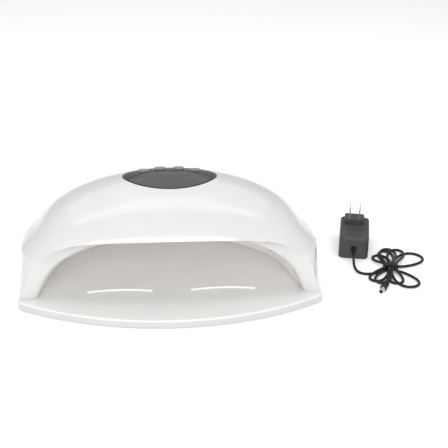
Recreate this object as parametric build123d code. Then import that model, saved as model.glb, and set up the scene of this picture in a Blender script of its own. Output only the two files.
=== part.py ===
from build123d import *
import math
import os

# Two-hand UV nail lamp: tray, lift-off hood, timer buttons, wall adapter with its
# corded plug. Millimetres; +X across, -Y towards the user, +Z up; z = 0 is the table.

# ---- tray -------------------------------------------------------------------
HALF_W = 178.6
HALF_D = 120.0
TRAY_BOTTOM = 1.5
TRAY_TOP = 10.0
TRAY_FRONT_R = 325.0
TRAY_CORNER_R = 9.0
TRAY_EDGE_R = 2.6
TRAY_SKIN = 3.0
FEET = [(-150, -48), (150, -48), (-60, -92), (60, -92), (-95, 75), (95, 75)]
FOOT_R = 6.0
MAGNETS = [(-167, -12), (167, -12), (-45, 107.5), (45, 107.5)]
MAGNET_R = 5.0
GUIDE_MID = (61.5, -41.0)
GUIDE_SPAN = 78.0
GUIDE_RISE = 4.6
GUIDE_W = 4.0
GUIDE_H = 1.6

# ---- hood -------------------------------------------------------------------
Y_MID = -6.0
SEAM = 10.2
SHOULDER = 62.0
SKIN = 2.6
LIP_Y = -53.0
TUNNEL_Y = -43.0
SIDES = 48
# z, half width, front y, back y, front exponent, back exponent
WALL = [(SEAM, HALF_W, -84, 120.0, 6.0, 2.3), (SHOULDER, 175.2, -85, 115.0, 3.6, 2.3)]
DOME = [
    WALL[1],
    (77.0, 162.0, -84.0, 108.0, 3.1, 2.25),
    (92.0, 149.8, -80.5, 97.0, 2.8, 2.2),
    (104.0, 138.2, -72.5, 84.5, 2.6, 2.15),
    (115.0, 122.4, -61.5, 70.0, 2.5, 2.1),
    (124.0, 104.6, -50.0, 56.5, 2.4, 2.1),
    (131.0, 85.4, -40.0, 44.0, 2.3, 2.1),
    (137.0, 61.3, -28.0, 31.0, 2.2, 2.1),
    (141.0, 37.0, -18.0, 18.5, 2.1, 2.1),
    (143.2, 12.0, -9.5, 2.5, 2.0, 2.0),
]
# half width and height of the mouth arch, floor to crown
ARCH = [(157.0, 9.0), (152.3, 21.0), (145.0, 36.6), (133.5, 51.0), (117.0, 63.4),
        (100.0, 72.0), (80.0, 80.0), (58.0, 86.0), (30.0, 90.0), (0.0, 91.0)]
# plan of the cavity behind the arch, as shares of half width and depth
BAY = [(1.0, 0.0), (0.959, 0.194), (0.911, 0.387), (0.873, 0.51), (0.822, 0.619),
       (0.764, 0.69), (0.701, 0.758), (0.583, 0.855), (0.382, 0.942), (0.0, 1.0)]
# height, half width and back y of the cavity
CAVITY = [(4.0, 157.0, 102.0), (9.0, 157.0, 102.0), (21.0, 152.3, 101.5),
          (36.6, 145.0, 99.5), (51.0, 133.5, 95.0), (63.4, 117.0, 88.0),
          (72.0, 100.0, 80.0), (80.0, 80.0, 67.0), (86.0, 58.0, 50.0),
          (90.0, 30.0, 24.0), (91.0, 10.0, 0.0)]
FLARE_Y = -141.0
FLARE_X = 4.08
FLARE_Z = 0.93
LIP_RISE = 0.2
LIP = [(5.2, 5.6), (4.6, 3.4), (3.0, 1.2), (0.0, 0.0)]
LINER = 2.2
POSTS = [(-166, -30), (166, -30), (-150, 40), (150, 40), (-95, 93), (95, 93)]

# ---- control panel ----------------------------------------------------------
WIN_A = 56.0
WIN_B = 33.5
WIN_Y = 0.5
BUTTON_X = [-30.0, -11.0, 11.0, 30.0]
BUTTON_Y = [11.0, 13.5, 13.5, 11.0]
BUTTON_NAMES = ["10s", "30s", "60s", "99s"]
BUTTON_L = 13.0
BUTTON_W = 6.4
BUTTON_TOP = [142.8, 144.2, 144.2, 142.8]
BOARD_Z = 128.0
SENSOR_Y = -38.0
SENSOR_Z = 24.0

# ---- wall adapter and cord --------------------------------------------------
AD_X = 248.0
AD_Y = 82.0
AD_W = 38.0
AD_L = 72.0
AD_H = 29.0
CORD_R = 1.7
AD_TURN = -13.0
TIE = (AD_X + 48.0, AD_Y - 60.0)


def save(shape, name):
    os.makedirs("parts", exist_ok=True)
    export_step(shape, "parts/" + name + ".step")
    print(name, round(shape.volume, 1))


def group(shapes):
    return Compound(children=[s for s in shapes])


def cyl(x, y, z0, z1, r):
    return Pos(x, y, (z0 + z1) / 2) * Cylinder(r, z1 - z0)


def block(x0, x1, y0, y1, z0, z1):
    centre = Pos((x0 + x1) / 2, (y0 + y1) / 2, (z0 + z1) / 2)
    return centre * Box(x1 - x0, y1 - y0, z1 - z0)


def obround(x, y, z0, z1, length, width, turn=0.0):
    sketch = Rot(0, 0, turn) * SlotOverall(length, width)
    return Pos(x, y, z0) * extrude(sketch, z1 - z0)


def smooth(points, closed=False):
    """A curve through the points with evenly spaced knots, so that lofts stay light."""
    count = len(points) + (1 if closed else 0)
    knots = [i / (count - 1) for i in range(count)]
    return Edge.make_spline(points, periodic=closed, parameters=knots)


def plan_points(z, a, y_front, y_back, n_front, n_back):
    points = []
    for i in range(SIDES):
        t = 2 * math.pi * i / SIDES - math.pi / 2
        ahead = math.sin(t) < 0
        b = Y_MID - y_front if ahead else y_back - Y_MID
        n = n_front if ahead else n_back
        r = (abs(math.cos(t) / a) ** n + abs(math.sin(t) / b) ** n) ** (-1 / n)
        points.append((r * math.cos(t), Y_MID + r * math.sin(t), z))
    return points


def level(*row):
    return Wire([smooth(plan_points(*row), True)])


def inset(row, gap):
    z, a, y_front, y_back, n_front, n_back = row
    return level(z, a - gap, y_front + gap, y_back - gap, n_front, n_back)


def dome_solid(gap, foot):
    """The hood's outside, drawn in by gap, from height foot to the crown."""
    bottom = (foot,) + WALL[0][1:]
    shoulder_z = SHOULDER - gap * 0.4
    lower = [inset(bottom, gap), inset((shoulder_z,) + WALL[1][1:], gap)]
    upper = []
    for row in DOME:
        share = (row[0] - SHOULDER) / (DOME[-1][0] - SHOULDER)
        sink = gap * (0.4 + 0.6 * share)
        trim = gap * (1 - 0.75 * share)
        moved = (row[0] - sink,) + row[1:]
        upper.append(inset(moved, trim))
    wall = Solid.make_loft(lower, ruled=True)
    cap = Solid.make_loft(upper)
    return wall + cap


def arch_wire(y, grow, scale_x=1.0, scale_z=1.0):
    rise = grow * LIP_RISE
    half = [(x * scale_x + grow, 9 + (z - 9) * scale_z + rise) for x, z in ARCH[:-1]]
    crown = (0.0, 9 + (ARCH[-1][1] - 9) * scale_z + rise)
    points = half + [crown] + [(-x, z) for x, z in reversed(half)]
    spline = smooth([(x, y, z) for x, z in points])
    x0, z0 = half[0]
    right = Edge.make_line((x0, y, 2.0), (x0, y, z0))
    left = Edge.make_line((-x0, y, z0), (-x0, y, 2.0))
    floor = Edge.make_line((-x0, y, 2.0), (x0, y, 2.0))
    return Wire([right, spline, left, floor])


def flare_solid(back=0.0, up=0.0):
    """Space in front of the arch: a rounded lip, then a wide flare to the front."""
    far = arch_wire(FLARE_Y, 0.0, FLARE_X, FLARE_Z)
    lip = [arch_wire(LIP_Y - ahead, out) for ahead, out in LIP]
    return Pos(0, back, up) * Solid.make_loft([far] + lip, ruled=True)


def bay_wire(z, w, y_back, grow):
    depth = y_back + grow - LIP_Y
    half = [((w + grow) * u, LIP_Y + depth * v) for u, v in BAY]
    points = half + [(-x, y) for x, y in reversed(half[:-1])]
    spline = smooth([(x, y, z) for x, y in points])
    front = Edge.make_line((points[-1][0], LIP_Y, z), (points[0][0], LIP_Y, z))
    return Wire([spline, front])


def bay_solid(grow=0.0):
    rows = []
    for z, w, y_back in CAVITY:
        share = (z - 4.0) / 87.0
        rows.append(bay_wire(z + grow * share, w, y_back, grow))
    return Solid.make_loft(rows)


def window_prism(grow, z0=100.0, z1=160.0):
    sketch = Ellipse(WIN_A + grow, WIN_B + grow)
    return Pos(0, WIN_Y, z0) * extrude(sketch, z1 - z0)


def lens_prism(shrink, z0=100.0, z1=160.0):
    """Plan of the clear lens: the window's front, cut off by a shallow arc."""
    front = Ellipse(WIN_A - 4.0 - shrink, WIN_B - 1.6 - shrink)
    rear = Pos(0, -98.5) * Circle(100.0 - shrink)
    return Pos(0, WIN_Y, z0) * extrude(front & rear, z1 - z0)



# ---- hood shell -------------------------------------------------------------
OUTER = dome_solid(0.0, SEAM)
INNER = dome_solid(SKIN, SEAM - 1.0)
UNDER = dome_solid(SKIN + 1.6, SEAM - 1.0)
bay_cut = bay_solid()
bay_skin = bay_solid(LINER)
mouth = bay_cut + flare_solid()


def hood_void():
    """Hollow of the hood: its inside, less the wall kept behind the flared lip."""
    behind = bay_solid(LINER + 0.2) + flare_solid(2.6, 2.0)
    return INNER - (behind - block(-700, 700, TUNNEL_Y, 200, -20, 160))


def hood():
    shell = OUTER - hood_void() - mouth - window_prism(0.0)
    for x, y in POSTS:
        post = (cyl(x, y, SEAM + 2.6, 120, 4.0) & INNER) - cyl(x, y, 0, 26, 1.5)
        shell = shell + post
    for i in range(9):
        x = (i - 4) * 9.0
        shell = shell - (Pos(x, 96, 93) * Rot(35, 0, 0) * Box(3, 40, 16))
    shell = shell - (Pos(JACK[0], 110, JACK[2]) * Rot(90, 0, 0) * Cylinder(5.6, 40))
    return shell


def reflector():
    skin = bay_skin - bay_cut - block(-200, 200, -90, TUNNEL_Y + 0.1, 0, 160)
    skin = skin - block(-200, 200, -200, 200, -10, SEAM + 0.2)
    for x, y in CEILING_LEDS:
        skin = skin - cyl(x, y, 40, 110, 3.6)
    for place in wall_places():
        skin = skin - (place * Cylinder(3.6, 14))
    for side in (-1, 1):
        skin = skin - (Pos(side * 150, SENSOR_Y, SENSOR_Z) * Rot(0, 90, 0) * Cylinder(2.2, 20))
    return skin


def bottom_frame():
    slab = block(-200, 200, TUNNEL_Y + 0.1, 200, SEAM, SEAM + 2.4)
    ring = (slab & inner_foot()) - bay_solid(LINER + 0.15)
    for x, y in MAGNETS:
        ring = ring - cyl(x, y, 0, 30, MAGNET_R)
    for x, y in POSTS:
        ring = ring - cyl(x, y, 0, 30, 1.6) - cyl(x, y, 0, SEAM + 1.5, 3.1)
    return ring


def inner_foot():
    return dome_solid(SKIN + 0.1, SEAM - 1.0)


# ---- cavity lamps -----------------------------------------------------------
CEILING_LEDS = [(0, -22), (-36, -22), (36, -22), (-72, -22), (72, -22), (-18, 8), (18, 8),
                (-54, 6), (54, 6), (0, 36), (-40, 34), (40, 34)]
WALL_LEDS = [(1, 0.22), (1, 0.48), (-1, 0.22), (-1, 0.48), (1, 0.76), (-1, 0.76), (1, 0.94), (-1, 0.94)]
WALL_LED_Z = 44.0


def share_between(table, key):
    for (k0, *lo), (k1, *hi) in zip(table, table[1:]):
        if k0 <= key <= k1:
            f = (key - k0) / (k1 - k0)
            return [a + (b - a) * f for a, b in zip(lo, hi)]
    return list(table[-1][1:])


def bay_reach(z):
    return share_between(CAVITY, z)


def bay_width(v):
    return share_between([(b, a) for a, b in BAY], v)[0]


def ceiling_height(x, y):
    low, high = 10.0, 91.0
    for _ in range(40):
        z = (low + high) / 2
        w, y_back = bay_reach(z)
        v = (y - LIP_Y) / (y_back - LIP_Y)
        if v < 1 and abs(x) < w * bay_width(v):
            low = z
        else:
            high = z
    return low


def wall_places():
    places = []
    w, y_back = bay_reach(WALL_LED_Z)
    depth = y_back - LIP_Y
    for side, v in WALL_LEDS:
        x0, y0 = w * bay_width(v - 0.02), LIP_Y + depth * (v - 0.02)
        x1, y1 = w * bay_width(v + 0.02), LIP_Y + depth * (v + 0.02)
        run = math.hypot(x1 - x0, y1 - y0)
        out = (side * (y1 - y0) / run, -(x1 - x0) / run, 0.42)
        spot = (side * (x0 + x1) / 2, (y0 + y1) / 2, WALL_LED_Z)
        places.append(Plane(origin=spot, z_dir=out).location)
    return places


def led(place):
    bead = place * Pos(0, 0, 0.6) * Cylinder(3.6, 4.4)
    dome = place * Pos(0, 0, -1.6) * Sphere(2.6)
    return bead + dome


def ceiling_places():
    return [Pos(x, y, ceiling_height(x, y)) for x, y in CEILING_LEDS]


def star_board(place):
    plate = place * Pos(0, 0, 7.4) * Cylinder(7.5, 1.6)
    slug = place * Pos(0, 0, 4.7) * Cylinder(2.6, 3.8)
    return plate + slug


# ---- control panel ----------------------------------------------------------
def control_panel():
    skin = (OUTER - INNER) & window_prism(-0.15)
    skin = skin - lens_prism(0.0)
    ledge = (INNER - UNDER) & window_prism(3.5)
    panel = skin + ledge
    panel = panel - block(-30, 30, -26.5, -8, 100, 160)
    for x, y in zip(BUTTON_X, BUTTON_Y):
        panel = panel - obround(x, y, 100, 160, BUTTON_L + 0.7, BUTTON_W + 0.7)
    for x, y in BOARD_POSTS:
        post = (cyl(x, y, BOARD_Z + 1.6, 150, 2.4) & UNDER) - cyl(x, y, 100, BOARD_Z + 5, 1.1)
        panel = panel + post
    return panel


BOARD_POSTS = [(-37, 17), (37, 17), (-37, -10), (37, -10)]


def display_lens():
    return (OUTER - INNER) & lens_prism(0.1)


def display_module():
    glass = block(-27, 27, -25, -9.5, BOARD_Z + 1.6, BOARD_Z + 4.0)
    return glass


def control_board():
    board = Pos(0, -2, BOARD_Z) * extrude(RectangleRounded(84, 50, 6), 1.6)
    for x, y in BOARD_POSTS:
        board = board - cyl(x, y, 100, 150, 1.2)
    chips = block(-20, -12, 0, 8, BOARD_Z - 1.6, BOARD_Z)
    chips = chips + block(6, 11, -14, -8, BOARD_Z - 1.4, BOARD_Z)
    return board + chips


def timer_button(x, y, top):
    cap = obround(x, y, 134.6, top, BUTTON_L, BUTTON_W)
    cap = fillet(cap.faces().sort_by(Axis.Z)[-1].edges(), 0.8)
    flange = obround(x, y, 133.8, 135.0, BUTTON_L + 2.4, BUTTON_W + 2.4)
    stem = cyl(x, y, 133.0, 134.0, 1.8)
    return cap + flange + stem


def tact_switches():
    parts = []
    for x, y in zip(BUTTON_X, BUTTON_Y):
        can = block(x - 3, x + 3, y - 3, y + 3, BOARD_Z + 1.6, BOARD_Z + 2.9)
        parts.append(can + cyl(x, y, BOARD_Z + 2.9, BOARD_Z + 3.7, 1.5))
    return group(parts)


# ---- tray -------------------------------------------------------------------
def plan_solid(z0, z1, shrink=0.0):
    points = plan_points(z0, HALF_W - shrink, -190.0, 120.0 - shrink, 6.0, 2.3)
    outline = Face(Wire([Edge.make_spline(points, periodic=True)]))
    wide = extrude(outline, z1 - z0, dir=(0, 0, 1))
    disc = Pos(0, TRAY_FRONT_R - HALF_D, (z0 + z1) / 2)
    return wide & (disc * Cylinder(TRAY_FRONT_R - shrink, z1 - z0))


def guide_strip(side, z0, z1, width=GUIDE_W):
    x, y = GUIDE_MID
    radius = (GUIDE_SPAN ** 2 / 4 + GUIDE_RISE ** 2) / (2 * GUIDE_RISE)
    sweep = math.degrees(math.asin((GUIDE_SPAN - GUIDE_W) / 2 / radius))
    line = CenterArc((0, 0), radius, 90 - sweep, 2 * sweep)
    band = SlotArc(line, width)
    return Pos(side * x, y - radius, z0) * extrude(band, z1 - z0)


def tray():
    plate = plan_solid(TRAY_BOTTOM, TRAY_TOP)
    corners = [e for e in plate.edges() if e.length < 9 and abs(e.center().X) > 170]
    plate = fillet(corners, TRAY_CORNER_R)
    top = [e for e in plate.edges() if e.center().Z > TRAY_TOP - 0.01 and e.center().Y < -60]
    plate = fillet(top, TRAY_EDGE_R)
    hollow = plan_solid(TRAY_BOTTOM - 1, TRAY_TOP - TRAY_SKIN, 3.2)
    for x in (-120, -60, 0, 60, 120):
        hollow = hollow - block(x - 1, x + 1, -130, 130, 0, 9)
    for y in (-70, -20, 30, 80):
        hollow = hollow - block(-180, 180, y - 1, y + 1, 0, 9)
    for x, y in FEET:
        hollow = hollow - cyl(x, y, 0, 9, FOOT_R + 2)
    for x, y in MAGNETS[:2]:
        hollow = hollow - block(min(x, x * 1.2), max(x, x * 1.2), y - 7, y + 7, 0, 9)
        hollow = hollow - cyl(x, y, 0, 9, MAGNET_R + 2)
    for x, y in MAGNETS[2:]:
        hollow = hollow - block(x - 7, x + 7, y - 7, y + 20, 0, 9)
    plate = plate - hollow
    for x, y in FEET:
        plate = plate - cyl(x, y, 0, TRAY_BOTTOM + 1, FOOT_R)
    for x, y in MAGNETS:
        plate = plate - cyl(x, y, TRAY_TOP - 1.6, TRAY_TOP + 1, MAGNET_R)
    for side in (-1, 1):
        plate = plate - guide_strip(side, TRAY_TOP - 1.2, TRAY_TOP + 2)
    return plate


def feet():
    out = []
    for x, y in FEET:
        foot = cyl(x, y, 0, TRAY_BOTTOM + 1, FOOT_R)
        out.append(fillet(foot.edges().sort_by(Axis.Z)[0], 0.6))
    return group(out)


def guides(side):
    strip = guide_strip(side, TRAY_TOP - 1.2, TRAY_TOP + GUIDE_H)
    crown = strip.faces().sort_by(Axis.Z)[-1].edges()
    return fillet(crown, 0.9)


def discs(z0, z1):
    return group([cyl(x, y, z0, z1, MAGNET_R) for x, y in MAGNETS])


# ---- fixings, sensors, jack, wiring -----------------------------------------
JACK = (0.0, 117.0, 28.0)


def frame_screws():
    out = []
    for x, y in POSTS:
        out.append(cyl(x, y, SEAM + 0.3, SEAM + 1.5, 3.0) + cyl(x, y, SEAM + 1.5, 22, 1.5))
    return group(out)


def board_screws():
    out = []
    for x, y in BOARD_POSTS:
        out.append(cyl(x, y, BOARD_Z - 1.6, BOARD_Z, 2.2) + cyl(x, y, BOARD_Z, BOARD_Z + 4.6, 1.1))
    return group(out)


def hand_sensor(side):
    eye = Pos(side * 154.5, SENSOR_Y, SENSOR_Z) * Rot(0, 90, 0) * Cylinder(2.0, 10)
    base = block(-1.3, 1.3, -3, 3, -4, 4)
    return eye + (Pos(side * 160.0, SENSOR_Y, SENSOR_Z) * base)


def dc_jack():
    x, y, z = JACK
    body = block(x - 5.5, x + 5.5, y - 11.8, y - 3, z - 6.8, z + 6.8)
    collar = Pos(x, y - 0.4, z) * Rot(90, 0, 0) * Cylinder(5.4, 5.4)
    bore = Pos(x, y - 2.2, z) * Rot(90, 0, 0) * Cylinder(3.0, 9.6)
    pin = Pos(x, y - 3.2, z) * Rot(90, 0, 0) * Cylinder(1.0, 8)
    return (body + collar) - bore + pin


def wire(points, r, start):
    path = FilletPolyline(*points, radius=start)
    section = Plane(origin=path @ 0, z_dir=path % 0) * Circle(r)
    return sweep(section, path)


# ---- wall adapter -----------------------------------------------------------
def adapter_body():
    shell = Pos(AD_X, AD_Y, 0) * extrude(RectangleRounded(AD_W, AD_L, 6), AD_H)
    shell = fillet(shell.faces().sort_by(Axis.Z)[-1].edges(), 2.2)
    shell = fillet(shell.faces().sort_by(Axis.Z)[0].edges(), 2.2)
    for side in (-1, 1):
        for i in range(7):
            y = AD_Y + 17 - i * 6.2
            groove = Pos(AD_X + side * (AD_W / 2 + 2.1), y, AD_H / 2) * Cylinder(3.2, AD_H + 2)
            shell = shell - groove
    boss = Pos(AD_X - 1, AD_Y + 21, AD_H - 0.5) * extrude(RectangleRounded(26, 20, 3), 7.5)
    boss = fillet(boss.faces().sort_by(Axis.Z)[-1].edges(), 1.6)
    shell = shell + boss
    core = Pos(AD_X, AD_Y, 2.4) * extrude(RectangleRounded(AD_W - 7.4, AD_L - 5, 3), AD_H - 4.8)
    shell = shell - core
    pocket = Pos(AD_X, AD_Y - 17, AD_H - 0.8) * extrude(RectangleRounded(20, 27, 1.5), 2)
    shell = shell - pocket
    throat = Pos(AD_X, AD_Y - AD_L / 2, AD_H / 2) * Rot(90, 0, 0) * Cylinder(3.5, 12)
    return shell - throat - blade_set(0.0)


def blade_set(extra):
    out = []
    for side in (-1, 1):
        x = AD_X - 1 + side * 6.35
        blade = Pos(x, AD_Y + 21, 41.5) * Box(1.5, 6.35, 27.0)
        tips = blade.faces().sort_by(Axis.Z)[-1].edges()
        blade = chamfer(tips, 0.6)
        out.append(blade)
    return out[0] + out[1]


def ac_blades():
    out = []
    for side in (-1, 1):
        x = AD_X - 1 + side * 6.35
        blade = Pos(x, AD_Y + 21, 41.5) * Box(1.5, 6.35, 27.0)
        blade = chamfer(blade.faces().sort_by(Axis.Z)[-1].edges(), 0.6)
        hole = Pos(x, AD_Y + 21, 50) * Rot(0, 90, 0) * Cylinder(1.4, 4)
        out.append(blade - hole)
    return group(out)


def adapter_halves():
    body = adapter_body()
    split = AD_H * 0.42
    front = body - block(AD_X - 60, AD_X + 60, AD_Y - 60, AD_Y + 60, -5, split)
    back = body - block(AD_X - 60, AD_X + 60, AD_Y - 60, AD_Y + 60, split, 60)
    return front, back


def rating_plate():
    return Pos(AD_X, AD_Y - 17, AD_H - 0.8) * extrude(RectangleRounded(20, 27, 1.5), 0.5)


def adapter_board():
    return block(AD_X - 14, AD_X + 14, AD_Y - 30, AD_Y + 30, 5.0, 6.6)


def transformer():
    core = block(AD_X - 9, AD_X + 9, AD_Y - 14, AD_Y + 4, 6.6, 21)
    return core + block(AD_X - 6, AD_X + 6, AD_Y - 12, AD_Y + 2, 21, 23)


def capacitors():
    small = cyl(AD_X + 8, AD_Y - 23, 6.6, 19, 3.8)
    return group([cyl(AD_X - 7, AD_Y + 13, 6.6, 22, 6), small])


def cone_along(p0, p1, r0, r1):
    start = Plane(origin=p0, z_dir=(p1[0] - p0[0], p1[1] - p0[1], p1[2] - p0[2]))
    length = math.dist(p0, p1)
    return start.location * Pos(0, 0, length / 2) * Cone(r0, r1, length)


def strain_relief(p0, p1, r0, r1, ribs):
    """Tapered boot round the cord, with a bore for it and a row of ribs."""
    boot = cone_along(p0, p1, r0, r1)
    for i in range(ribs):
        f = (i + 0.5) / ribs
        g = f + 0.45 / ribs
        a = tuple(p + (q - p) * f for p, q in zip(p0, p1))
        b = tuple(p + (q - p) * g for p, q in zip(p0, p1))
        r = r0 + (r1 - r0) * f
        ring = wire_run(a, b, r + 1.5) - wire_run(a, b, r - 0.45)
        boot = boot - ring
    return boot


BOOT_A = (AD_X, AD_Y - AD_L / 2 + 2.4, AD_H / 2)
BOOT_B = (AD_X, AD_Y - AD_L / 2 - 11.0, AD_H / 2)


def adapter_boot():
    boot = strain_relief(BOOT_A, BOOT_B, 3.5, 2.5, 6)
    return boot - wire_run(BOOT_A, BOOT_B, CORD_R)


def wire_run(p0, p1, r):
    start = Plane(origin=p0, z_dir=(p1[0] - p0[0], p1[1] - p0[1], p1[2] - p0[2]))
    length = math.dist(p0, p1)
    return start.location * Pos(0, 0, length / 2) * Cylinder(r, length)


# ---- cord, hank and plug ----------------------------------------------------
LOBES = [(52, 58, 30), (91, 56, 20), (118, 38, 12), (-58, 53, 26), (-123, 45, 13)]
HANK_TOP = 6.4
TAIL = [(TIE[0] - 2.0, TIE[1] - 6.0, 3.2), (TIE[0] - 2.6, TIE[1] - 22.0, 2.2),
        (TIE[0] - 4.4, TIE[1] - 40.6, 4.2)]
LEAD = [(AD_X, AD_Y - AD_L / 2 + 1.0, AD_H / 2), (AD_X, AD_Y - 58.0, 13.5),
        (AD_X + 2.5, AD_Y - 73.0, 2.4), (AD_X + 15.0, AD_Y - 83.0, 1.8),
        (TIE[0] - 9.5, TIE[1] - 12.0, 2.4)]
PLUG_AT = TAIL[-1]
PLUG_DIR = (-0.2694, -0.963, 0.0)


def fillet_radii(points):
    radii = []
    for a, b, c in zip(points, points[1:], points[2:]):
        u = Vector(*b) - Vector(*a)
        v = Vector(*c) - Vector(*b)
        half = math.radians(u.get_angle(v)) / 2
        radii.append(round(0.45 * min(u.length, v.length) / math.tan(half), 2))
    return radii


def cord_tube(points):
    radii = fillet_radii(points)
    print("bend radii", radii)
    path = FilletPolyline(*points, radius=radii)
    section = Plane(origin=path @ 0, z_dir=path % 0) * Circle(CORD_R)
    tube = sweep(section, path)
    print("tube", round(tube.volume, 1), "length x section", round(path.length * math.pi * CORD_R ** 2, 1))
    return tube


def hank():
    x, y = TIE
    body = block(x - 8, x + 8, y - 7, y + 7, 0.8, HANK_TOP)
    for turn, length, width in LOBES:
        ring = Ellipse(length / 2, width / 2) - Ellipse(length / 2 - 5.0, width / 2 - 3.4)
        lobe = Pos(x, y, 0.2) * Rot(0, 0, turn) * Pos(length / 2, 0, 0)
        body = body + (lobe * extrude(ring, HANK_TOP - 0.2))
    return body


def hank_tie():
    x, y = TIE
    band = block(x - 9.6, x + 9.6, y - 1.7, y + 1.7, 0.0, 7.4)
    hole = block(x - 8, x + 8, y - 3, y + 3, 0.8, 6.6)
    ears = block(x - 1.2, x + 1.2, y - 1.7, y + 5.5, 7.2, 8.2)
    return band - hole + ears


def plug_point(along):
    return tuple(p + d * along for p, d in zip(PLUG_AT, PLUG_DIR))


def plug_boot():
    boot = strain_relief(plug_point(0), plug_point(7), 2.3, 3.2, 4)
    return boot - wire_run(plug_point(-1), plug_point(3), CORD_R)


def plug_grip():
    grip = wire_run(plug_point(7), plug_point(21), 4.0)
    grip = fillet(grip.edges(), 0.7)
    for i in range(4):
        a, b = plug_point(9.5 + 2.2 * i), plug_point(10.4 + 2.2 * i)
        grip = grip - (wire_run(a, b, 5) - wire_run(a, b, 3.65))
    return grip


def plug_barrel():
    tube = wire_run(plug_point(21), plug_point(30.5), 2.75)
    return tube - wire_run(plug_point(21.5), plug_point(32), 2.35)


def plug_tip():
    core = wire_run(plug_point(21.5), plug_point(30.9), 2.35)
    return core - wire_run(plug_point(22.5), plug_point(33), 1.25)


def laid(solid):
    """Turns a piece of the power lead about the middle of the adapter."""
    return Pos(AD_X, AD_Y, 0) * Rot(0, 0, AD_TURN) * Pos(-AD_X, -AD_Y, 0) * solid


# ---- build ------------------------------------------------------------------
save(tray(), "base_tray")
save(feet(), "rubber_feet")
save(guides(-1), "finger_guide_left")
save(guides(1), "finger_guide_right")
save(discs(TRAY_TOP - 1.6, TRAY_TOP - 0.1), "tray_steel_discs")
save(hood(), "top_housing")
save(reflector(), "inner_reflector")
save(bottom_frame(), "bottom_frame")
save(discs(SEAM + 0.1, SEAM + 2.4), "housing_magnets")
save(frame_screws(), "housing_screws")
save(control_panel(), "control_panel")
save(display_lens(), "display_lens")
save(display_module(), "display_module")
save(control_board(), "control_board")
save(tact_switches(), "tact_switches")
save(board_screws(), "board_screws")
for bx, by, bz, label in zip(BUTTON_X, BUTTON_Y, BUTTON_TOP, BUTTON_NAMES):
    save(timer_button(bx, by, bz), "timer_button_" + label)
save(group([led(p) for p in ceiling_places()]), "ceiling_uv_leds")
save(group([led(p) for p in wall_places()]), "wall_uv_leds")
save(group([star_board(p) for p in ceiling_places()]), "ceiling_led_boards")
save(group([star_board(p) for p in wall_places()]), "wall_led_boards")
save(hand_sensor(-1), "hand_sensor_left")
save(hand_sensor(1), "hand_sensor_right")
save(dc_jack(), "dc_jack")
front_half, back_half = adapter_halves()
save(laid(front_half), "adapter_front_case")
save(laid(back_half), "adapter_back_case")
save(laid(ac_blades()), "ac_blades")
save(laid(rating_plate()), "rating_plate")
save(laid(adapter_board()), "adapter_board")
save(laid(transformer()), "adapter_transformer")
save(laid(capacitors()), "adapter_capacitors")
save(laid(adapter_boot()), "adapter_strain_relief")
save(laid(cord_tube(LEAD)), "dc_cord")
save(laid(hank() - hank_tie()), "cord_hank")
save(laid(hank_tie()), "cord_tie")
save(laid(cord_tube(TAIL)), "plug_tail")
save(laid(plug_boot()), "plug_strain_relief")
save(laid(plug_grip()), "plug_grip")
save(laid(plug_barrel()), "plug_barrel")
save(laid(plug_tip()), "plug_tip")
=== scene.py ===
import math
import bpy
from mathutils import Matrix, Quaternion, Vector


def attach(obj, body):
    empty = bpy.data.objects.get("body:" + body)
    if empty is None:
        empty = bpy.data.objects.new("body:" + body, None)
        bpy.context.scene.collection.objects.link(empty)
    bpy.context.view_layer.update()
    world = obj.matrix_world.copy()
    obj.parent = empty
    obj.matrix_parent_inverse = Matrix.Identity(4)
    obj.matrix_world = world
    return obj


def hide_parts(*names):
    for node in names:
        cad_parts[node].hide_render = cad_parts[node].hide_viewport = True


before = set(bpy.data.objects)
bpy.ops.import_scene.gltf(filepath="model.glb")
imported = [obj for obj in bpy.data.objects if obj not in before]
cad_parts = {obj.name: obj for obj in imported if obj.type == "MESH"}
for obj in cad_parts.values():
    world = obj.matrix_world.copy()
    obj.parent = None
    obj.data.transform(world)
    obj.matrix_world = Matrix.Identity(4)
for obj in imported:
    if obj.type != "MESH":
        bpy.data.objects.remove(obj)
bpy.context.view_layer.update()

MM = 0.001
WHITE = (1, 1, 1, 1)
# the part of a noise texture's range that nearly all its values lie in
NOISE_LOW, NOISE_HIGH = 0.3, 0.7
NOISE_DETAIL = 3.0
WEAR_DETAIL = 4.0
# painted shade: the tray's rim is darkened to this share of its top's tone, and the change lies
# between these heights in m
RIM_PAINTED_SHADE = (0.70, 0.0078, 0.0096)


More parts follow.
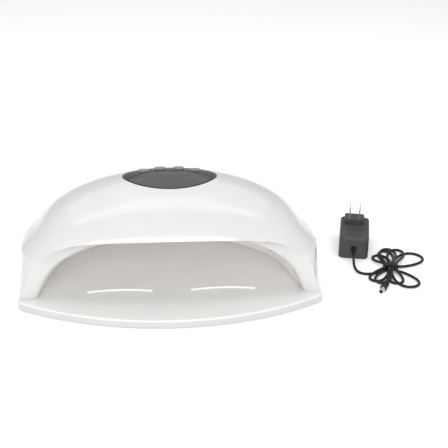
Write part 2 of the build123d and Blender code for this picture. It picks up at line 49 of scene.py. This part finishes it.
# ---- materials --------------------------------------------------------------
def material(name, base, rough, **extra):
    """Principled plastic or metal with its own grain, tone drift and roughness drift.

    extra: metal, ior, coat, coat_rough, specular; drift and drift_scale of the tone;
    wear and wear_scale of the roughness; bump, depth, grain_scale and stretch of the grain;
    band, a (share, low, high) of painted shade that darkens everything below a height.
    """
    mat = bpy.data.materials.new(name)
    mat.use_nodes = True
    tree = mat.node_tree
    nodes, links = tree.nodes, tree.links
    shader = nodes["Principled BSDF"]
    shader.inputs["Metallic"].default_value = extra.get("metal", 0.0)
    shader.inputs["IOR"].default_value = extra.get("ior", 1.5)
    shader.inputs["Coat Weight"].default_value = extra.get("coat", 0.0)
    shader.inputs["Coat Roughness"].default_value = extra.get("coat_rough", 0.05)
    shader.inputs["Specular IOR Level"].default_value = extra.get("specular", 0.5)
    place = nodes.new("ShaderNodeTexCoord")

    def noise(scale, detail=NOISE_DETAIL, stretch=(1.0, 1.0, 1.0)):
        mapping = nodes.new("ShaderNodeMapping")
        mapping.inputs["Scale"].default_value = stretch
        links.new(place.outputs["Object"], mapping.inputs["Vector"])
        tex = nodes.new("ShaderNodeTexNoise")
        tex.inputs["Scale"].default_value = scale
        tex.inputs["Detail"].default_value = detail
        links.new(mapping.outputs["Vector"], tex.inputs["Vector"])
        return tex.outputs["Fac"]

    def spread(value, low, high):
        ramp = nodes.new("ShaderNodeMapRange")
        ramp.inputs["From Min"].default_value = NOISE_LOW
        ramp.inputs["From Max"].default_value = NOISE_HIGH
        ramp.inputs["To Min"].default_value = low
        ramp.inputs["To Max"].default_value = high
        links.new(value, ramp.inputs["Value"])
        return ramp.outputs["Result"]

    drift = extra.get("drift", 0.02)
    tone = nodes.new("ShaderNodeMix")
    tone.data_type = "RGBA"
    dark = [max(0.0, c * (1 - drift)) for c in base]
    light = [min(1.0, c * (1 + drift)) for c in base]
    tone.inputs["A"].default_value = (*dark, 1)
    tone.inputs["B"].default_value = (*light, 1)
    share = spread(noise(extra.get("drift_scale", 14.0)), 0.0, 1.0)
    links.new(share, tone.inputs["Factor"])
    colour = tone.outputs["Result"]
    if "band" in extra:
        # painted shade: everything below a height is darkened, so the side of the moulding
        # reads greyer than its top
        rim_shade_share, low, high = extra["band"]
        split = nodes.new("ShaderNodeSeparateXYZ")
        links.new(place.outputs["Object"], split.inputs["Vector"])
        height = nodes.new("ShaderNodeMapRange")
        height.inputs["From Min"].default_value = low
        height.inputs["From Max"].default_value = high
        height.inputs["To Min"].default_value = rim_shade_share
        height.inputs["To Max"].default_value = 1.0
        links.new(split.outputs["Z"], height.inputs["Value"])
        painted_shade = nodes.new("ShaderNodeMix")
        painted_shade.data_type = "RGBA"
        painted_shade.blend_type = "MULTIPLY"
        painted_shade.inputs["Factor"].default_value = 1.0
        links.new(colour, painted_shade.inputs["A"])
        links.new(height.outputs["Result"], painted_shade.inputs["B"])
        colour = painted_shade.outputs["Result"]
    links.new(colour, shader.inputs["Base Color"])

    wear = extra.get("wear", 0.03)
    grain_scale = extra.get("grain_scale", 900.0)
    stretch = extra.get("stretch", (1.0, 1.0, 1.0))
    smear = noise(extra.get("wear_scale", 40.0), WEAR_DETAIL, stretch)
    links.new(spread(smear, rough - wear, rough + wear), shader.inputs["Roughness"])

    bump = nodes.new("ShaderNodeBump")
    bump.inputs["Strength"].default_value = extra.get("bump", 0.05)
    bump.inputs["Distance"].default_value = extra.get("depth", 0.0002)
    links.new(noise(grain_scale, NOISE_DETAIL, stretch), bump.inputs["Height"])
    links.new(bump.outputs["Normal"], shader.inputs["Normal"])
    return mat


HOUSING = material("housing_gloss_white", (0.625, 0.625, 0.622), 0.15, coat=0.3,
                   coat_rough=0.08, bump=0.015)
# the tray's colour carries painted shade that darkens its rim below a height
TRAY = material("tray_moulded_white", (0.80, 0.79, 0.776), 0.36, bump=0.08,
                grain_scale=1400.0, band=RIM_PAINTED_SHADE)
REFLECTOR = material("reflector_white", (0.95, 0.937, 0.924), 0.30, bump=0.05)
GUIDE = material("guide_polished_white", (0.92, 0.92, 0.92), 0.12, coat=0.5)
PANEL = material("panel_smoked", (0.022, 0.0215, 0.0215), 0.30, coat=0.1,
                 specular=0.3, drift=0.05)
LENS = material("lens_smoked", (0.060, 0.057, 0.0565), 0.22, coat=0.2,
                specular=0.4, drift=0.05)
KEY = material("key_light_grey", (0.245, 0.25, 0.255), 0.35, bump=0.08)
ADAPTER = material("adapter_textured_black", (0.040, 0.041, 0.045), 0.48, bump=0.35,
                   grain_scale=1600.0, drift=0.12, wear=0.06, specular=0.4)
LABEL = material("label_recess_black", (0.022, 0.022, 0.024), 0.55, bump=0.1, drift=0.1)
RUBBER = material("foot_rubber", (0.03, 0.03, 0.03), 0.75, bump=0.3)
JACKET = material("cord_jacket_black", (0.006, 0.006, 0.0065), 0.36, specular=0.3,
                  bump=0.12, drift=0.15)
MOULD = material("plug_moulded_black", (0.011, 0.011, 0.012), 0.42, specular=0.3,
                 bump=0.25, drift=0.1)
NICKEL = material("nickel_plate", (0.80, 0.77, 0.72), 0.18, metal=1.0, wear=0.08,
                  stretch=(1.0, 1.0, 6.0), bump=0.1)
STEEL = material("zinc_steel", (0.62, 0.62, 0.63), 0.32, metal=1.0, wear=0.1, bump=0.1)
BOARD = material("board_lacquer_green", (0.02, 0.13, 0.06), 0.35, drift=0.15, drift_scale=220.0)
ALU = material("board_aluminium", (0.70, 0.70, 0.72), 0.36, metal=1.0, wear=0.08)
LED = material("led_clear_lens", (0.86, 0.83, 0.96), 0.10, coat=0.5, drift=0.04)
DARK = material("sensor_black", (0.02, 0.02, 0.022), 0.25, coat=0.3)
TIE = material("tie_wrapped_black", (0.010, 0.010, 0.0105), 0.5, specular=0.3,
               bump=0.4, grain_scale=2500.0)
PAPER = material("floor_white", (0.96, 0.96, 0.96), 0.7, drift=0.004, bump=0.0,
                 specular=0.1)

FINISH = (
    (HOUSING, ("top_housing",)),
    (TRAY, ("base_tray", "bottom_frame")),
    (REFLECTOR, ("inner_reflector",)),
    (GUIDE, ("finger_guide_left", "finger_guide_right")),
    (PANEL, ("control_panel",)),
    (LENS, ("display_lens",)),
    (KEY, ("timer_button_10s", "timer_button_30s", "timer_button_60s", "timer_button_99s")),
    (RUBBER, ("rubber_feet",)),
    (STEEL, ("tray_steel_discs", "housing_magnets", "housing_screws", "board_screws",
             "tact_switches")),
    (BOARD, ("control_board", "adapter_board")),
    (LED, ("ceiling_uv_leds", "wall_uv_leds")),
    (ALU, ("ceiling_led_boards", "wall_led_boards", "adapter_capacitors")),
    (DARK, ("display_module", "hand_sensor_left", "hand_sensor_right", "dc_jack",
            "adapter_transformer", "plug_tip")),
    (ADAPTER, ("adapter_front_case", "adapter_back_case")),
    (LABEL, ("rating_plate",)),
    (NICKEL, ("ac_blades", "plug_barrel")),
    (MOULD, ("adapter_strain_relief", "plug_strain_relief", "plug_grip")),
    (TIE, ("cord_tie",)),
)
for finish, nodes in FINISH:
    for node in nodes:
        for slot in bpy.data.objects[node].material_slots:
            slot.material = finish

# ---- cord -------------------------------------------------------------------
# all in mm; the plan below is turned by TURN about PIVOT, the middle of the adapter
CORD_D = 3.4
PIVOT = (248.0, 82.0)
TURN = math.radians(-13.0)
KNOT = (296.0, 22.0)
LEAD = [(248.0, 47.0, 14.5), (248.0, 24.0, 13.5), (250.5, 9.0, 2.4), (263.0, -1.0, 1.8),
        (286.5, 10.0, 1.9)]
TAIL = [(294.0, 14.0, 4.8), (293.4, 0.0, 3.2), (291.6, -18.6, 4.2)]
# heights of the two layers inside the tie, and of the jacket's middle on the floor
LOW, HIGH = 2.4, 5.2
GROUND = 1.8
TIE_HALF = 6.0
# each third loop lies as low as the first, and the two between a little higher
STAGGER, STACK = 0.3, 3
# a loop comes down to the floor between these shares of its length
FALL_START, FALL_SPAN = 0.2, 0.55
# loops in winding order: direction in degrees, length, width,
# then (column, layer) where it leaves the tie and where it comes back
LOOPS = [
    (52, 58, 30, (3.3, LOW), (6.6, LOW)),
    (-58, 53, 27, (6.6, LOW), (0.0, LOW)),
    (80, 56, 20, (0.0, LOW), (6.6, HIGH)),
    (-78, 40, 18, (6.6, HIGH), (-3.3, LOW)),
    (94, 56, 20, (-3.3, LOW), (3.3, HIGH)),
    (-108, 44, 18, (3.3, HIGH), (-6.6, LOW)),
    (99, 50, 18, (-6.6, LOW), (0.0, HIGH)),
    (-121, 43, 18, (0.0, HIGH), (-6.6, HIGH)),
    (118, 38, 18, (-6.6, HIGH), (-3.3, HIGH)),
]
# one side of a loop and its tip, in shares of its length and width
SHAPE = [(0.30, 0.30), (0.55, 0.47), (0.80, 0.52), (0.97, 0.34), (1.03, 0.0)]


def loop_points(index):
    """Control points of one loop, from the tie out round its tip and back."""
    turn, length, width, start, end = LOOPS[index]
    a = math.radians(turn)
    ux, uy = math.cos(a), math.sin(a)
    tie_y = KNOT[1] + math.copysign(TIE_HALF, turn)
    points = [(KNOT[0] + start[0], tie_y, start[1])]
    sides = SHAPE + [(u, -v) for u, v in reversed(SHAPE[:-1])]
    for i, (u, v) in enumerate(sides):
        x = KNOT[0] + ux * u * length - uy * v * width
        y = KNOT[1] + uy * u * length + ux * v * width
        layer = start[1] if i < len(SHAPE) - 1 else end[1]
        held = max(0.0, 1.0 - (u - FALL_START) / FALL_SPAN)
        z = GROUND + (layer - GROUND) * held + STAGGER * (index % STACK)
        points.append((x, y, z))
    points.append((KNOT[0] + end[0], tie_y, end[1]))
    return points


def laid(p):
    """A point of the plan, turned about the middle of the adapter as the CAD has it."""
    x, y = p[0] - PIVOT[0], p[1] - PIVOT[1]
    across = PIVOT[0] + x * math.cos(TURN) - y * math.sin(TURN)
    along = PIVOT[1] + x * math.sin(TURN) + y * math.cos(TURN)
    return across, along, p[2]


def nurbs(name, points, radius):
    """A round cord on one smooth open curve; points and radius in mm."""
    curve = bpy.data.curves.new(name, "CURVE")
    curve.dimensions = "3D"
    spline = curve.splines.new("NURBS")
    spline.points.add(len(points) - 1)
    for control, p in zip(spline.points, points):
        control.co = (p[0] * MM, p[1] * MM, p[2] * MM, 1.0)
    spline.order_u = 3
    spline.use_endpoint_u = True
    spline.resolution_u = 6
    curve.bevel_depth = radius * MM
    curve.bevel_resolution = 5
    curve.use_fill_caps = True
    made = bpy.data.objects.new(name, curve)
    bpy.context.collection.objects.link(made)
    return made


route = list(LEAD)
for number in range(len(LOOPS)):
    route += loop_points(number)
route += TAIL

cord = nurbs("dc_cord_line", [laid(p) for p in route], CORD_D / 2)
cord.data.materials.append(JACKET)
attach(cord, "base")
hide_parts("dc_cord", "cord_hank", "plug_tail")

# ---- studio -----------------------------------------------------------------
FLOOR_HALF = 25
FLOOR_GLOW = 0.14
WORLD_STRENGTH = 0.62

floor_mesh = bpy.data.meshes.new("floor")
floor_mesh.from_pydata([(-FLOOR_HALF, -FLOOR_HALF, 0), (FLOOR_HALF, -FLOOR_HALF, 0),
                        (FLOOR_HALF, FLOOR_HALF, 0), (-FLOOR_HALF, FLOOR_HALF, 0)],
                       [], [(0, 1, 2, 3)])
floor = bpy.data.objects.new("floor", floor_mesh)
bpy.context.collection.objects.link(floor)
paper = PAPER.node_tree.nodes["Principled BSDF"]
paper.inputs["Emission Color"].default_value = WHITE
paper.inputs["Emission Strength"].default_value = FLOOR_GLOW
floor.data.materials.append(PAPER)

bpy.context.scene.view_settings.view_transform = "Standard"
world = bpy.data.worlds.new("studio")
bpy.context.scene.world = world
world.use_nodes = True
background = world.node_tree.nodes["Background"]
background.inputs["Color"].default_value = WHITE
background.inputs["Strength"].default_value = WORLD_STRENGTH


def softbox(name, place, aim, size, power):
    """A rectangular light at place, facing aim; metres and watts."""
    lamp = bpy.data.lights.new(name, "AREA")
    lamp.shape = "RECTANGLE"
    lamp.size, lamp.size_y = size
    lamp.energy = power
    made = bpy.data.objects.new(name, lamp)
    bpy.context.collection.objects.link(made)
    made.location = place
    made.rotation_mode = "QUATERNION"
    toward = Vector(aim) - Vector(place)
    made.rotation_quaternion = toward.to_track_quat("-Z", "Y")


softbox("top_box", (0.0, 0.5, 1.7), (0.0, 0.0, 0.0), (3.0, 2.0), 13)
softbox("front_box", (-0.15, -1.8, 0.86), (0.0, 0.0, 0.05), (1.9, 0.8), 24)
softbox("strip_box", (0.0, -0.15, 1.6), (0.0, -0.05, 0.1), (2.2, 0.22), 2.0)

# ---- camera -----------------------------------------------------------------
# turned a little to the right, so that lamp and adapter share the picture
CAMERA_PLACE = (-0.0561, -1.1355, 0.5846)
CAMERA_BACK = (-0.09739, -0.90786, 0.4078)
CAMERA_ROLL = math.radians(1.305)
LENS_MM, SENSOR_MM = 82.96, 36.0
CLIP = (0.05, 30.0)

camera_data = bpy.data.cameras.new("camera")
camera_data.lens = LENS_MM
camera_data.sensor_width = SENSOR_MM
camera_data.clip_start, camera_data.clip_end = CLIP
camera = bpy.data.objects.new("camera", camera_data)
bpy.context.collection.objects.link(camera)
bpy.context.scene.camera = camera
back = Vector(CAMERA_BACK).normalized()
level = (-back).to_track_quat("-Z", "Y")
camera.location = CAMERA_PLACE
camera.rotation_mode = "QUATERNION"
camera.rotation_quaternion = Quaternion(back, CAMERA_ROLL) @ level
